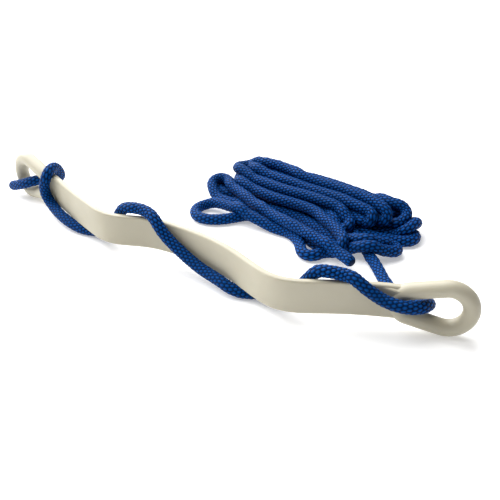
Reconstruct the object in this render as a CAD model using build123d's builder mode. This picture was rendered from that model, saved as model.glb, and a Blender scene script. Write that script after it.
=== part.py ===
from build123d import *

import os
from math import asin, cos, pi, radians, sin, tan

# Tow rope handle: a waved grip strip moulded in one piece with a rope eye at each end, and its braided rope.
#
# Frame: +X runs along the handle from the far eye to the near eye, +Z is up, the user's palms meet the -Y face.
# The origin is the middle of the handle's footprint, on the surface that the two eyes stand on.  Millimetres.

# ---- driving dimensions -------------------------------------------------------------------------
# grip strip, standing on its long edge and waved in plan
strip_height = 24.0
strip_thickness = 4.6
strip_bottom = 8.4
strip_edge_radius = 1.4
hole_margin = 1.2  # how far the strip's ends stop short of the eyes' holes

# rope eyes: a round bar bent into a teardrop ring, wide at its outer end
bar_diameter = 11.0
ring_radius = 14.2  # centreline of the wide outer end
throat_radius = 9.3  # centreline of the narrow end beside the strip
ring_length = 22.0  # between the centres of those two arcs
eye_reach = 182.0  # from the middle of the handle to the middle of each wide end
eye_line = 17.3  # how far the eyes stand behind the middle of the footprint
near_eye_turn = 20.0  # degrees that each eye is turned in plan, to follow the strip's end
far_eye_turn = 13.0

# fairing that thickens the strip where it runs into an eye: distance from the middle of the eye's wide end,
# height and thickness; it starts just inside the strip's faces
neck_sections = [
    (44, strip_height - 1, strip_thickness - 0.4),
    (29, 20, 9.4),
]

# strip's wave in plan: distance along the handle, and how far it stands forward of the eyes
wave = [
    (-113, 21),
    (-86, 30.5),
    (-62, 35.5),
    (-36, 26.5),
    (0, 23),
    (36, 28),
    (62, 37),
    (86, 42.5),
    (113, 30.5),
]

rope_diameter = 8.0

# rope's route from its free end in the far eye, round the strip twice, through the near eye and to the hank
rope_route = [
    (-200, 11, 7.5),
    (-188.5, 8.5, 12),
    (-178, 8.5, 16.5),
    (-170, 14, 19.5),
    (-162, 23, 17.5),
    (-153, 25, 22),
    (-147.5, 17.5, 33),
    (-144.5, 12, 40.5),
    (-142, 4.5, 42.3),
    (-140.7, -3, 37.5),
    (-142.7, -4.5, 28.5),
    (-144.5, -3.8, 20),
    (-142, -3.5, 12.5),
    (-135.5, -4.5, 7.5),
    (-124.5, -6.8, 5.5),
    (-109, -9.7, 4.4),
    (-92, -9.3, 4.1),
    (-78, -7, 6.5),
    (-67, -7.5, 17),
    (-57, -9, 29),
    (-48.5, -8, 37.5),
    (-39, -8, 41),
    (-30, -10.5, 40),
    (-22.5, -14, 33.5),
    (-13, -14, 25),
    (1, -13.5, 15.5),
    (16, -14.5, 8.3),
    (30, -14.3, 4.4),
    (44, -12.5, 4.1),
    (58, -9.5, 4.6),
    (72, -12, 11),
    (85, -15, 22),
    (96, -14, 32),
    (106, -9.5, 38.5),
    (117, -7, 41),
    (128, -8.5, 39),
    (138, -8.5, 32.5),
    (148, -7, 27),
    (157, -4.5, 24),
    (164.5, 0.5, 22),
    (169.5, 7.5, 21),
    (170.5, 17, 19),
    (167.5, 25, 13.5),
    (160, 30.5, 7.5),
    (149, 34.5, 4.1),
    (138, 40, 4.1),
    (128.5, 48.5, 4.1),
    (119.5, 58, 4.1),
    (107.5, 71, 4.1),
]

# hank of folded rope: the low, spread turns round it, and the mound of turns that rises from them
hank_low_height = 10.0
hank_low_outline = [
    (-14, 67),
    (22, 66),
    (46, 62),
    (58, 48),
    (76, 44),
    (95, 45),
    (105, 54),
    (101, 65),
    (114, 77),
    (128, 86),
    (136, 104),
    (134, 122),
    (118, 141),
    (92, 153),
    (28, 156),
    (-34, 152),
    (-60, 138),
    (-70, 114),
    (-54, 96),
    (-54, 72),
    (-40, 53),
    (-24, 55),
]
mound_height = 31.0
mound_foot = [(-8, 84), (60, 72), (112, 84), (130, 106), (108, 140), (20, 150), (-42, 142), (-56, 112)]
mound_crest = [(4, 118), (50, 110), (100, 104), (116, 112), (98, 124), (20, 134), (-24, 133), (-30, 122)]
mound_corner = 7.0


def eye_plane(side, turn):
    """Upright plane through an eye: its x points away from the strip and its y points up."""
    outward = (side * cos(radians(turn)), sin(radians(turn)), 0)
    normal = (sin(radians(turn)), -side * cos(radians(turn)), 0)
    centre = (side * eye_reach, eye_line, ring_radius + bar_diameter / 2)
    return Plane(origin=centre, x_dir=outward, z_dir=normal)


far_plane = eye_plane(-1, far_eye_turn)
near_plane = eye_plane(1, near_eye_turn)


# ---- handle: the strip, two necks and two eyes moulded as one -------------------------------------
# tangent points of the straight sides of the teardrop, from the difference between its two arcs
taper = asin((ring_radius - throat_radius) / ring_length)
outer_x = -ring_radius * sin(taper)
outer_y = ring_radius * cos(taper)
inner_x = -ring_length - throat_radius * sin(taper)
inner_y = throat_radius * cos(taper)

with BuildPart() as eye:
    with BuildLine() as ring:
        ThreePointArc((outer_x, 0, outer_y), (ring_radius, 0, 0), (outer_x, 0, -outer_y))
        Line((outer_x, 0, -outer_y), (inner_x, 0, -inner_y))
        ThreePointArc((inner_x, 0, -inner_y), (-ring_length - throat_radius, 0, 0), (inner_x, 0, inner_y))
        Line((inner_x, 0, inner_y), (outer_x, 0, outer_y))
    with BuildSketch(Plane(origin=ring.wire() @ 0, z_dir=ring.wire() % 0)):
        Circle(bar_diameter / 2)
    sweep(path=ring.wire())

# the strip's ends reach well into the eye's bar, but stop short of its hole
strip_end = ring_length + throat_radius - bar_diameter / 2 + hole_margin
strip_middle = strip_bottom + strip_height / 2


def along_eye(plane, distance):
    """Point on an eye's plane, a distance in from the middle of its wide end, level with the strip's middle."""
    return plane.origin - plane.x_dir * distance + Vector(0, 0, strip_middle - plane.origin.Z)


with BuildPart() as handle:
    with BuildLine() as strip_path:
        Spline(
            along_eye(far_plane, strip_end),
            *[(x, eye_line - forward, strip_middle) for x, forward in wave],
            along_eye(near_plane, strip_end),
            tangents=[-far_plane.x_dir, near_plane.x_dir],
        )
    strip_section = Plane(origin=strip_path.wire() @ 0, x_dir=(0, 0, 1), z_dir=strip_path.wire() % 0)
    with BuildSketch(strip_section):
        RectangleRounded(strip_height, strip_thickness, strip_edge_radius)
    sweep(path=strip_path.wire())
    for plane in (far_plane, near_plane):
        for distance, height, thickness in neck_sections:
            section = Plane(origin=along_eye(plane, distance), x_dir=(0, 0, 1), z_dir=plane.x_dir)
            with BuildSketch(section):
                RectangleRounded(height, thickness, strip_edge_radius)
        loft()
        add(eye.part.moved(Location(Plane(plane.origin, x_dir=plane.x_dir, z_dir=(0, 0, 1)))))

handle.part.label = "handle"

# ---- rope ----------------------------------------------------------------------------------------


def bend_radii(route):
    """Arc at each corner: as large as the two runs beside it allow."""
    corners = [Vector(*point) for point in route]
    radii = []
    for before, corner, after in zip(corners, corners[1:], corners[2:]):
        turn = radians((corner - before).get_angle(after - corner))
        shorter_run = min((corner - before).length, (after - corner).length)
        radii.append(0.45 * shorter_run / tan(turn / 2))
    return radii


route_radii = bend_radii(rope_route)

with BuildPart() as rope:
    with BuildLine() as rope_path:
        FilletPolyline(*rope_route, radius=route_radii)
    with BuildSketch(Plane(origin=rope_path.wire() @ 0, z_dir=rope_path.wire() % 0)):
        Circle(rope_diameter / 2)
    sweep(path=rope_path.wire())
rope.part.label = "rope"

with BuildPart() as hank:
    with BuildSketch():
        with BuildLine():
            Polyline(*hank_low_outline, close=True)
        make_face()
    extrude(amount=hank_low_height)
    with BuildSketch() as foot:
        with BuildLine():
            Polyline(*mound_foot, close=True)
        make_face()
        fillet(foot.vertices(), mound_corner)
    with BuildSketch(Plane.XY.offset(mound_height)) as crest:
        with BuildLine():
            Polyline(*mound_crest, close=True)
        make_face()
        fillet(crest.vertices(), mound_corner / 2)
    loft()
hank.part.label = "rope_hank"

rope_length = rope_path.wire().length
rope_section = pi * rope_diameter**2 / 4
print("rope length before the hank", round(rope_length))
print("volume over section times length", round(rope.part.volume / (rope_section * rope_length), 4))
print("bend radii", [round(radius) for radius in route_radii])

os.makedirs("parts", exist_ok=True)
for piece in (handle, rope, hank):
    export_step(piece.part, f"parts/{piece.part.label}.step")
    box = piece.part.bounding_box()
    print(piece.part.label, "solids", len(piece.part.solids()), "box", box.min, box.max)
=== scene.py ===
import math

import bpy
import numpy as np
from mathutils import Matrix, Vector


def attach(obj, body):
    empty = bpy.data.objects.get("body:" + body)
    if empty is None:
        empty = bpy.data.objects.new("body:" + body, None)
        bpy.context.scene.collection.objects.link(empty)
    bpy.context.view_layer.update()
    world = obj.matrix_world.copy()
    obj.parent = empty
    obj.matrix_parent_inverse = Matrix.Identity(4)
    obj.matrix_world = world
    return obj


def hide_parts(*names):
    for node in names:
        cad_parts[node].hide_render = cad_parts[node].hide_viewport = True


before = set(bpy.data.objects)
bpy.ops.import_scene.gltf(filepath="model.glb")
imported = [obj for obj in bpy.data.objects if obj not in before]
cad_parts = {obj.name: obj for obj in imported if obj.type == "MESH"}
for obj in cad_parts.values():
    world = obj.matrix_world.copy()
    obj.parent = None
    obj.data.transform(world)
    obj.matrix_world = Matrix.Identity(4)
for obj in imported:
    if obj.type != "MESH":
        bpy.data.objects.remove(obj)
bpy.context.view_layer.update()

MM = 0.001
ROPE_DIAMETER = 8 * MM

# The rope from its free end in the far eye, twice round the strip and through the near eye to the hank,
# in mm.
ROPE_ROUTE = [
    (-200, 11, 7.5), (-188.5, 8.5, 12), (-178, 8.5, 16.5), (-170, 14, 19.5), (-162, 23, 17.5),
    (-154, 25, 22), (-150.5, 20.5, 29.5), (-148.4, 15.5, 35.2), (-146.2, 10, 37.2), (-144.3, 4.2, 36.8),
    (-144.6, 0.6, 32), (-147.3, 0.5, 26.5), (-148.2, 0.8, 21), (-147.2, 1, 15.6), (-143, 0.8, 10.6),
    (-135, -2, 7.8), (-125, -6, 7.2), (-114, -8.8, 6), (-102, -9.4, 4.2), (-90, -7.2, 4.1), (-77, -6, 8),
    (-67, -9, 17), (-60, -9, 27), (-55, -9.2, 34.5), (-47, -9.6, 37.4), (-39, -8, 37.6),
    (-31, -8.8, 37.3), (-24, -11.4, 35.8), (-18, -13, 30), (-12, -12.8, 24), (-3, -12.6, 18),
    (8, -13.2, 12.6), (18, -14.4, 9.6), (28, -16, 8.4), (37, -18.2, 8.2), (45, -19.2, 6), (53, -17, 4.1),
    (62, -12.4, 4.3), (75, -12.4, 9), (87, -14.5, 15), (96.5, -13.6, 23), (102.2, -12, 31.5),
    (106.3, -11.3, 36.4), (113, -10, 37.3), (119, -8, 37), (124.5, -7, 36.8), (130, -7.8, 36.7),
    (136, -7.6, 33), (141.5, -5.6, 28.8), (147.5, -3.8, 25.2), (154, -3, 23.8), (160, -1, 22.8),
    (165.5, 3, 21.7), (169.5, 9, 20.5), (170.5, 17, 18.5), (167.5, 25, 13.5), (160, 30.5, 7.5),
    (149, 34.5, 4.1), (136.5, 40.5, 4.1), (127, 49, 4.1), (119, 58.5, 4.1), (107.5, 71, 4.1),
]

# The hank, run by run, as it was laid: how firmly a stretch keeps its place while the hank settles, and its
# points in mm. The hidden stretches give way, and the ones that show keep closer to their lines.
HIDDEN, SEEN = 0.03, 0.20
HANK = [
    (HIDDEN, [
        (97, 82, 4.3), (88, 91, 4.3), (68, 99, 4.3), (40, 106, 4.3), (10, 111, 4.3), (-15, 112, 4.3),
        (-32, 107, 4.3), (-45, 103, 4.3), (-54, 107, 4.3), (-53, 117, 4.3), (-45, 125, 4.3),
        (-37, 129, 4.3), (-25, 129, 4.3), (-10, 127, 4.3), (30, 125, 4.3), (70, 118, 4.3), (92, 113, 5),
        (104, 111, 9),
    ]),
    (SEEN, [
        (113, 113, 11), (119, 120, 12), (119, 129, 11),
    ]),
    (HIDDEN, [
        (110, 135, 8), (90, 137, 4.3), (70, 137, 4.3), (30, 142, 4.3), (-8, 143, 4.3), (-24, 142, 8),
        (-38, 137, 13), (-44, 128, 13), (-40, 120, 12), (-28, 118, 8), (-10, 119, 4.3), (30, 117, 4.3),
        (65, 110, 4.3), (85, 107, 4.3),
    ]),
    (SEEN, [
        (100, 106, 4.3), (113, 105, 4.3), (121, 110, 4.3), (123, 117, 5), (119, 124, 4.3),
    ]),
    (HIDDEN, [
        (106, 128, 4.3), (70, 129, 4.3), (30, 134, 4.3), (-10, 135, 4.3), (-28, 134, 4.3),
        (-44, 135, 4.3), (-51, 141, 4.3), (-44, 148, 4.3), (-28, 149, 4.3), (-10, 147.5, 4.3),
        (30, 147.5, 4.3), (70, 144, 4.3), (95, 143, 4.3), (106, 143, 8), (107, 138, 13), (96, 132, 15),
        (75, 128, 18), (30, 129, 19), (0, 131, 19), (-20, 133, 18), (-34, 132, 15), (-38, 126, 12),
        (-28, 123, 11.5), (-10, 123, 11.5), (30, 121, 11.5), (60, 115, 11.5), (82, 107, 10),
    ]),
    (SEEN, [
        (93, 104, 10), (94, 105, 16), (88, 109, 20.5), (76, 111, 22.5), (53, 115, 23), (30, 118, 23),
        (11, 119, 23), (-12, 121, 23), (-28, 125, 23), (-36, 129.5, 23), (-34, 135, 25),
        (-24, 131.5, 26), (-7, 133.5, 27.6), (6, 130.5, 27.2), (20, 125, 26.5), (45, 123, 26.5),
        (70, 121, 26.5), (88, 117, 26), (98, 114, 23), (102, 112, 18), (101, 109, 13),
    ]),
    (HIDDEN, [
        (92, 112, 11), (75, 119, 11.5), (30, 129, 11.5), (0, 131, 11.5), (-25, 131, 11.5),
        (-40, 127, 14), (-41, 119, 14), (-30, 116, 12), (-10, 116, 11.5), (30, 112, 11.5),
        (55, 104, 10.5),
    ]),
    (SEEN, [
        (70, 97, 7), (79, 94, 6), (80, 97, 11), (73, 102, 15.5), (58, 107, 18), (38, 109, 19),
        (10, 110, 18.5), (-13, 113, 18.5), (-34, 118, 18.5), (-48, 124, 18.5),
    ]),
    (HIDDEN, [
        (-46, 131, 15), (-33, 136, 14), (0, 138, 17), (40, 136, 19), (80, 132, 20),
    ]),
    (SEEN, [
        (98, 132, 21), (107, 133, 19), (111, 128, 16), (107, 120, 13), (102, 112, 10),
    ]),
    (HIDDEN, [
        (93, 112, 6), (80, 122, 8), (60, 132, 11.5), (20, 138, 11.5), (-15, 139, 11.5), (-36, 136, 12),
        (-42, 126, 11), (-42, 117, 12), (-35, 112, 14),
    ]),
    (SEEN, [
        (-30, 111, 15.5), (-20, 107, 15), (-10, 104, 15), (8, 101, 15), (30, 101, 15), (45, 99, 15),
        (58, 92, 14), (70, 84, 14), (81, 77, 12), (88, 72, 9), (85, 67, 5.5), (79, 64, 4.3),
        (73, 60, 4.3), (71.5, 52, 4.3), (66, 48, 4.3), (59, 53, 4.3), (53, 62, 4.3), (46, 69, 4.3),
        (35, 73, 4.3), (25, 72.5, 5), (12, 72, 8), (0, 72, 10.5), (-11, 74, 11), (-24, 77.5, 10),
        (-36, 80, 8), (-43, 78, 6), (-47, 70, 4.3), (-44, 60, 4.3), (-36, 55, 4.3), (-29, 55.5, 4.3),
        (-20, 60, 4.3), (-13, 68, 4.3), (-8, 77, 4.3),
    ]),
    (HIDDEN, [
        (8, 86, 4.3), (30, 84, 4.3), (46, 79, 4.3),
    ]),
    (SEEN, [
        (61, 66, 4.3), (70, 67.5, 4.3),
    ]),
    (HIDDEN, [
        (80, 73, 5),
    ]),
    (SEEN, [
        (88, 73, 8), (98, 72, 12), (106, 74, 12), (112, 80, 9), (119, 89, 6), (120, 97, 5), (113, 96, 6),
        (106, 87, 11), (98, 80, 13), (87, 80, 10), (76, 82, 6), (66, 85, 5), (54, 91, 5), (42, 97, 5),
        (30, 101, 5),
    ]),
    (HIDDEN, [
        (12, 98, 4.3), (-6, 94, 4.3), (-22, 91.5, 4.3), (-35, 90.5, 4.3),
    ]),
    (SEEN, [
        (-43, 92, 5), (-52, 97, 9), (-58, 105, 12), (-57, 112, 13.5), (-48, 114, 13.5), (-38, 107, 13.5),
        (-16, 93, 13), (10, 82, 12.5), (33, 73, 12.5), (53, 68, 12.5), (74, 61, 12), (91, 56, 10.5),
        (97, 53.5, 10), (101, 51.5, 9.5),
    ]),
]


# ---- camera: the photograph's viewing angle ------------------------------------------------------
def make_camera(location, azimuth, elevation, lens):
    camera = bpy.data.objects.new("camera", bpy.data.cameras.new("camera"))
    bpy.context.scene.collection.objects.link(camera)
    a, e = math.radians(azimuth), math.radians(elevation)
    look = Vector((-math.sin(a) * math.cos(e), math.cos(a) * math.cos(e), -math.sin(e)))
    camera.location = location
    camera.rotation_mode = "QUATERNION"
    camera.rotation_quaternion = look.to_track_quat("-Z", "Y")
    camera.data.lens = lens
    camera.data.sensor_width = 36
    camera.data.clip_start = 0.01
    bpy.context.scene.camera = camera


make_camera(Vector((287.5, -367.5, 280.5)) * MM, 33.0, 30.0, 54.1)


# ---- the rope's line -----------------------------------------------------------------------------
SHARED = 3  # the route's last points, which the hank starts with
LINE_STEP = 0.85 * MM


def spline_line(name, points, resolution):
    """Points along the smooth line that has these control points."""
    data = bpy.data.curves.new(name, "CURVE")
    data.dimensions = "3D"
    data.resolution_u = resolution
    spline = data.splines.new("NURBS")
    spline.points.add(len(points) - 1)
    for point, place in zip(spline.points, points):
        point.co = (*place, 1)
    spline.order_u = 3
    spline.use_endpoint_u = True
    curve = bpy.data.objects.new(name, data)
    mesh = bpy.data.meshes.new_from_object(curve)
    line = np.array([vertex.co[:] for vertex in mesh.vertices])
    bpy.data.curves.remove(data)
    bpy.data.meshes.remove(mesh)
    return line


def lengths_along(line):
    return np.concatenate([[0], np.cumsum(np.linalg.norm(np.diff(line, axis=0), axis=1))])


def even(line, step):
    """The same line with its points a step apart."""
    along = lengths_along(line)
    marks = np.linspace(0, along[-1], int(round(along[-1] / step)) + 1)
    return np.stack([np.interp(marks, along, line[:, k]) for k in range(3)], 1)


def settle(line, hold, step, gap, floor, rounds):
    """Lets a laid-out hank come to rest: its turns sink, push each other a gap apart and lie on the floor.

    Each round pulls every place towards where it was laid, lowers it, pushes neighbouring turns apart, opens
    the bends that are too tight, and evens out the steps along the rope. The line can still end with turns a
    little nearer than the gap, and with its tightest folds smaller than asked.
    """
    tight = 9.0  # the bend radius, in mm, that the stiffening aims at
    fixed = 4  # places at the start that join the route and don't move
    easing = 160  # rounds over which the laid line lets go
    least_hold = 0.3  # share of its pull that stays to the end
    sink = 0.06  # mm a round
    pushes, push_share = 6, 0.22  # how often a round pushes turns apart, and how much of an overlap goes
    search_every, search_margin = 4, 3  # rounds between searches for turns that are near, and mm past the gap
    same_run = 4  # places this near along the rope don't push each other
    straighten, even_out = 0.9, 0.25  # shares of a tight bend and of a wrong step put right in a round
    places = line.copy()
    index = np.arange(len(places))
    ease = step * step / (2 * tight)
    for turn in range(rounds):
        if turn % search_every == 0:
            squares = ((places[:, None] - places[None]) ** 2).sum(2)
            other_run = index[:, None] + same_run < index[None]
            first, second = np.nonzero(other_run & (squares < (gap + search_margin) ** 2))
        places += (line - places) * hold[:, None] * max(min((rounds - turn) / easing, 1), least_hold)
        places[:, 2] -= sink
        for _ in range(pushes):
            between = places[first] - places[second]
            apart = np.linalg.norm(between, axis=1, keepdims=True) + 1e-9
            push = between / apart * np.maximum(gap - apart, 0) * push_share
            np.add.at(places, first, push)
            np.add.at(places, second, -push)
        bend = (places[:-2] + places[2:]) / 2 - places[1:-1]
        size = np.linalg.norm(bend, axis=1, keepdims=True) + 1e-9
        places[1:-1] += bend * np.maximum(size - ease, 0) / size * straighten
        run = np.diff(places, axis=0)
        slack = run * (1 - step / np.linalg.norm(run, axis=1, keepdims=True)) * even_out
        places[:-1] += slack
        places[1:] -= slack
        places[:, 2] = np.maximum(places[:, 2], floor)
        places[:fixed] = line[:fixed]
    return places


def hank_line():
    """The settled hank, in mm, from the end of the route on."""
    step = 4.0
    points, holds = list(ROPE_ROUTE[-SHARED:]), [SEEN] * SHARED
    for hold, run in HANK:
        points += run
        holds += [hold] * len(run)
    laid = spline_line("hank_laid", points, 8)
    along = lengths_along(laid)
    share = np.interp(np.linspace(0, 1, len(laid)), np.linspace(0, 1, len(holds)), holds)
    line = even(laid, step)
    hold = np.interp(lengths_along(line), along, share)
    return settle(line, hold, step, gap=8.8, floor=4.3, rounds=240)


settled = hank_line()
line = even(spline_line("rope_line", np.vstack([ROPE_ROUTE[:-SHARED], settled]) * MM, 4), LINE_STEP)
along = lengths_along(line)


# ---- the rope's surface --------------------------------------------------------------------------
ABOVE_FLOOR = 0.05 * MM
# A solid braid: rows of oval stitches wind round the rope one way, and the gaps between stitches the other.
ROUND = 36
ROWS, ROW_PITCH = 10, 5.0 * MM
GAPS, GAP_PITCH = 4, 4.0 * MM
STITCH_HEIGHT = 0.6 * MM
STITCH_SUNK = 0.7  # share of that height below the rope's nominal surface
FUSED_LENGTH, FUSED_ROUNDING = 0.5 * ROPE_DIAMETER, 0.55  # at each cut end


def stitches(along, around):
    """How far the braid's surface stands out, from 0 between stitches to 1 on top of one."""
    row = ROWS * around + along / ROW_PITCH
    gap = GAPS * around - along / GAP_PITCH + 0.5 * np.floor(row)
    return np.sqrt(np.abs(np.sin(math.pi * row) * np.sin(math.pi * gap)))


def fullness(along):
    """How thick the rope is for its size: slack rope is fuller than rope drawn round the strip."""
    return np.interp(along, [0, 0.12, 0.40, 0.50, 0.60, along[-1]], [1.05, 1.05, 1.05, 1.00, 1.06, 1.07])


def braided_rope(name, line, along):
    """A closed tube along the line, the braid in its surface, with a UV map of metres along by turns around."""
    runs = np.gradient(line, axis=0)
    tangents = runs / np.linalg.norm(runs, axis=1, keepdims=True)
    side = np.cross(tangents[0], (0, 0, 1))
    sides = np.zeros_like(line)
    for i, tangent in enumerate(tangents):
        side = side - tangent * side.dot(tangent)
        side /= np.linalg.norm(side)
        sides[i] = side
    ups = np.cross(tangents, sides)
    around = np.arange(ROUND) / ROUND
    radius = ROPE_DIAMETER / 2 * fullness(along)[:, None]
    height = STITCH_HEIGHT * (stitches(along[:, None], around[None]) - STITCH_SUNK)
    # each cut end is fused and rounded over
    fused = np.clip(np.minimum(along, along[-1] - along) / FUSED_LENGTH, 0, 1)[:, None]
    wide = (radius + height * fused) * np.sqrt(np.maximum(1 - FUSED_ROUNDING * (1 - fused) ** 3, 0))
    angle = 2 * math.pi * around
    across = sides[:, None] * (wide * np.cos(angle))[..., None]
    ring = line[:, None] + across + ups[:, None] * (wide * np.sin(angle))[..., None]
    ring[..., 2] = np.maximum(ring[..., 2], ABOVE_FLOOR)
    count = len(line)
    row, column = np.meshgrid(np.arange(count - 1), np.arange(ROUND), indexing="ij")
    after = (column + 1) % ROUND
    here, there = row * ROUND, (row + 1) * ROUND
    quads = np.stack([here + column, here + after, there + after, there + column], -1)
    faces = quads.reshape(-1, 4).tolist()
    first, last = count * ROUND, count * ROUND + 1
    for k in range(ROUND):
        k_after = (k + 1) % ROUND
        faces.append([first, k_after, k])
        faces.append([last, (count - 1) * ROUND + k, (count - 1) * ROUND + k_after])
    mesh = bpy.data.meshes.new(name)
    mesh.from_pydata(ring.reshape(-1, 3).tolist() + [line[0].tolist(), line[-1].tolist()], [], faces)
    mesh.polygons.foreach_set("use_smooth", [True] * len(mesh.polygons))
    lay = np.zeros((len(mesh.loops), 2))
    lay[: quads.size, 0] = along[np.stack([row, row, row + 1, row + 1], -1)].reshape(-1)
    lay[: quads.size, 1] = (np.stack([column, column + 1, column + 1, column], -1) / ROUND).reshape(-1)
    lay[quads.size :, 0] = np.tile([0, 0, 0, along[-1], along[-1], along[-1]], ROUND)
    mesh.uv_layers.new(name="lay").data.foreach_set("uv", lay.reshape(-1))
    piece = bpy.data.objects.new(name, mesh)
    bpy.context.scene.collection.objects.link(piece)
    return piece


rope = braided_rope("rope_braid", line, along)


# ---- materials -----------------------------------------------------------------------------------
class Nodes:
    """A material's node tree, built up socket by socket."""

    def __init__(self, name):
        self.material = bpy.data.materials.new(name)
        self.material.use_nodes = True
        self.tree = self.material.node_tree
        self.shader = self.tree.nodes["Principled BSDF"]

    def add(self, kind, **settings):
        node = self.tree.nodes.new(kind)
        for name, value in settings.items():
            setattr(node, name, value)
        return node

    def put(self, socket, value):
        if isinstance(value, bpy.types.NodeSocket):
            self.tree.links.new(value, socket)
        else:
            socket.default_value = value

    def math(self, operation, *values):
        node = self.add("ShaderNodeMath", operation=operation)
        for socket, value in zip(node.inputs, values):
            self.put(socket, value)
        return node.outputs[0]

    def noise(self, place, scale, detail=2.0, roughness=0.5):
        node = self.add("ShaderNodeTexNoise")
        self.put(node.inputs["Vector"], place)
        self.put(node.inputs["Scale"], scale)
        self.put(node.inputs["Detail"], detail)
        self.put(node.inputs["Roughness"], roughness)
        return node.outputs["Fac"]

    def ramp(self, value, *stops):
        node = self.add("ShaderNodeValToRGB")
        ends = node.color_ramp.elements
        while len(ends) < len(stops):
            ends.new(0.5)
        for end, (position, colour) in zip(ends, stops):
            end.position = position
            end.color = (*colour, 1)
        self.put(node.inputs["Fac"], value)
        return node.outputs["Color"]

    def mix(self, share, low, high, blend="MIX"):
        node = self.add("ShaderNodeMix", data_type="RGBA", blend_type=blend)
        self.put(node.inputs["Factor"], share)
        for socket, value in ((node.inputs[6], low), (node.inputs[7], high)):
            self.put(socket, (*value, 1) if isinstance(value, tuple) else value)
        return node.outputs[2]

    def bump(self, height, distance, strength):
        node = self.add("ShaderNodeBump")
        self.put(node.inputs["Height"], height)
        self.put(node.inputs["Distance"], distance)
        self.put(node.inputs["Strength"], strength)
        self.put(self.shader.inputs["Normal"], node.outputs["Normal"])

    def look(self, **values):
        for name, value in values.items():
            socket = self.shader.inputs[name.replace("_", " ")]
            self.put(socket, (*value, 1) if isinstance(value, tuple) and len(value) == 3 else value)


def rope_material():
    """Blue synthetic solid braid: satin oval stitches of fine fibres, painted shade in the gaps and a painted
    highlight on top.
    """
    m = Nodes("blue_braid")
    lay = m.add("ShaderNodeUVMap", uv_map="lay").outputs[0]
    split = m.add("ShaderNodeSeparateXYZ")
    m.put(split.inputs[0], lay)
    along, around = split.outputs[0], split.outputs[1]
    row = m.math("ADD", m.math("MULTIPLY", around, ROWS), m.math("DIVIDE", along, ROW_PITCH))
    gap = m.math("SUBTRACT", m.math("MULTIPLY", around, GAPS), m.math("DIVIDE", along, GAP_PITCH))
    gap = m.math("ADD", gap, m.math("MULTIPLY", m.math("FLOOR", row), 0.5))
    wave = [m.math("ABSOLUTE", m.math("SINE", m.math("MULTIPLY", value, math.pi))) for value in (row, gap)]
    stitch = m.math("SQRT", m.math("MULTIPLY", *wave))
    place = m.add("ShaderNodeTexCoord").outputs["Object"]
    # fibres run along each stitch, across the row
    fibre = m.add("ShaderNodeCombineXYZ")
    m.put(fibre.inputs[0], m.math("MULTIPLY", row, 9.0))
    m.put(fibre.inputs[1], m.math("MULTIPLY", gap, 1.3))
    fibres = m.noise(fibre.outputs[0], 1.0, 2.0, 0.6)
    fade = m.noise(place, 22.0, 3.0, 0.55)
    # painted shade and highlight: the colour goes near black in the gaps between stitches and lightest on the
    # stitch tops
    painted_shade_blue = m.ramp(
        stitch,
        (0.0, (0.0002, 0.0010, 0.004)),
        (0.40, (0.0003, 0.0045, 0.020)),
        (0.62, (0.0010, 0.030, 0.130)),
        (0.92, (0.0035, 0.092, 0.330)),
    )
    painted_shade_blue = m.mix(m.math("MULTIPLY", fibres, 0.55), painted_shade_blue, (0.01, 0.22, 0.60), "SOFT_LIGHT")
    painted_shade_blue = m.mix(m.ramp(fade, (0.35, (0, 0, 0)), (0.75, (0.45, 0.45, 0.45))), painted_shade_blue, (0.002, 0.026, 0.10))
    m.look(Base_Color=painted_shade_blue, Roughness=0.55)
    m.look(Sheen_Weight=0.02, Sheen_Roughness=0.4, Sheen_Tint=(0.1, 0.4, 1.0))
    m.look(Specular_IOR_Level=0.18, Specular_Tint=(0.05, 0.36, 1.0))
    height = m.math("ADD", stitch, m.math("MULTIPLY", fibres, 0.22))
    m.bump(height, 0.5 * MM, 0.9)
    return m.material


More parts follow.
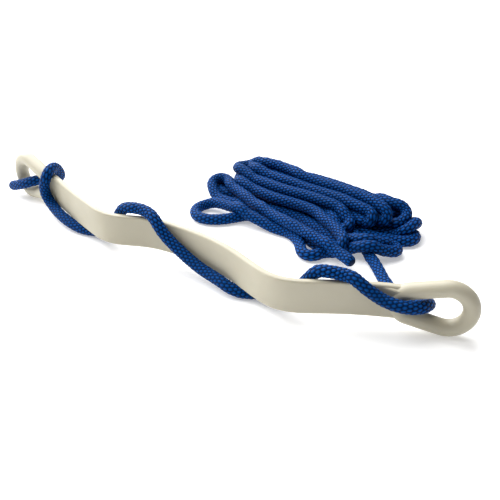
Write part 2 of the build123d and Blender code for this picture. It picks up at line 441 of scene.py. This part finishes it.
def plastic_material():
    """Ivory moulded plastic: faint mottling, fine mould grain, and patches rubbed smoother than the rest."""
    m = Nodes("ivory_plastic")
    place = m.add("ShaderNodeTexCoord").outputs["Object"]
    mottle = m.noise(place, 14.0, 4.0, 0.6)
    grain = m.noise(place, 900.0, 2.0, 0.5)
    rub = m.noise(place, 45.0, 5.0, 0.65)
    ivory = m.ramp(mottle, (0.30, (0.455, 0.42, 0.315)), (0.70, (0.53, 0.495, 0.385)))
    m.look(Base_Color=ivory, Subsurface_Weight=0.12, Subsurface_Scale=0.004)
    m.shader.inputs["Subsurface Radius"].default_value = (1.0, 0.75, 0.45)
    m.look(Roughness=m.ramp(rub, (0.30, (0.34, 0.34, 0.34)), (0.70, (0.52, 0.52, 0.52))), IOR=1.49)
    m.bump(m.math("ADD", grain, m.math("MULTIPLY", rub, 1.2)), 0.12 * MM, 0.35)
    return m.material


def dress(piece, material):
    piece.data.materials.clear()
    piece.data.materials.append(material)


dress(rope, rope_material())
dress(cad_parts["handle"], plastic_material())


# ---- floor and light -----------------------------------------------------------------------------
def floor():
    size = 6.0
    mesh = bpy.data.meshes.new("floor")
    corners = [(-size, -size, 0), (size, -size, 0), (size, size, 0), (-size, size, 0)]
    mesh.from_pydata(corners, [], [(0, 1, 2, 3)])
    piece = bpy.data.objects.new("floor", mesh)
    bpy.context.scene.collection.objects.link(piece)
    m = Nodes("white_floor")
    m.look(Base_Color=(0.80, 0.80, 0.80), Roughness=0.95)
    m.look(Emission_Color=(1.0, 1.0, 1.0), Emission_Strength=0.36)
    dress(piece, m.material)


def area_light(name, location, target, size, power):
    data = bpy.data.lights.new(name, "AREA")
    data.shape = "SQUARE"
    data.size = size
    data.energy = power
    light = bpy.data.objects.new(name, data)
    bpy.context.scene.collection.objects.link(light)
    light.location = location
    light.rotation_mode = "QUATERNION"
    light.rotation_quaternion = (Vector(target) - Vector(location)).to_track_quat("-Z", "Y")


floor()
world = bpy.data.worlds.new("studio")
bpy.context.scene.world = world
world.use_nodes = True
world.node_tree.nodes["Background"].inputs["Color"].default_value = (1, 1, 1, 1)
world.node_tree.nodes["Background"].inputs["Strength"].default_value = 0.2
area_light("overhead", (-0.90, 0.30, 1.10), (0, 0.05, 0), 2.2, 78)
bpy.context.scene.view_settings.view_transform = "Standard"

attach(rope, "root")
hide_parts("rope", "rope_hank")
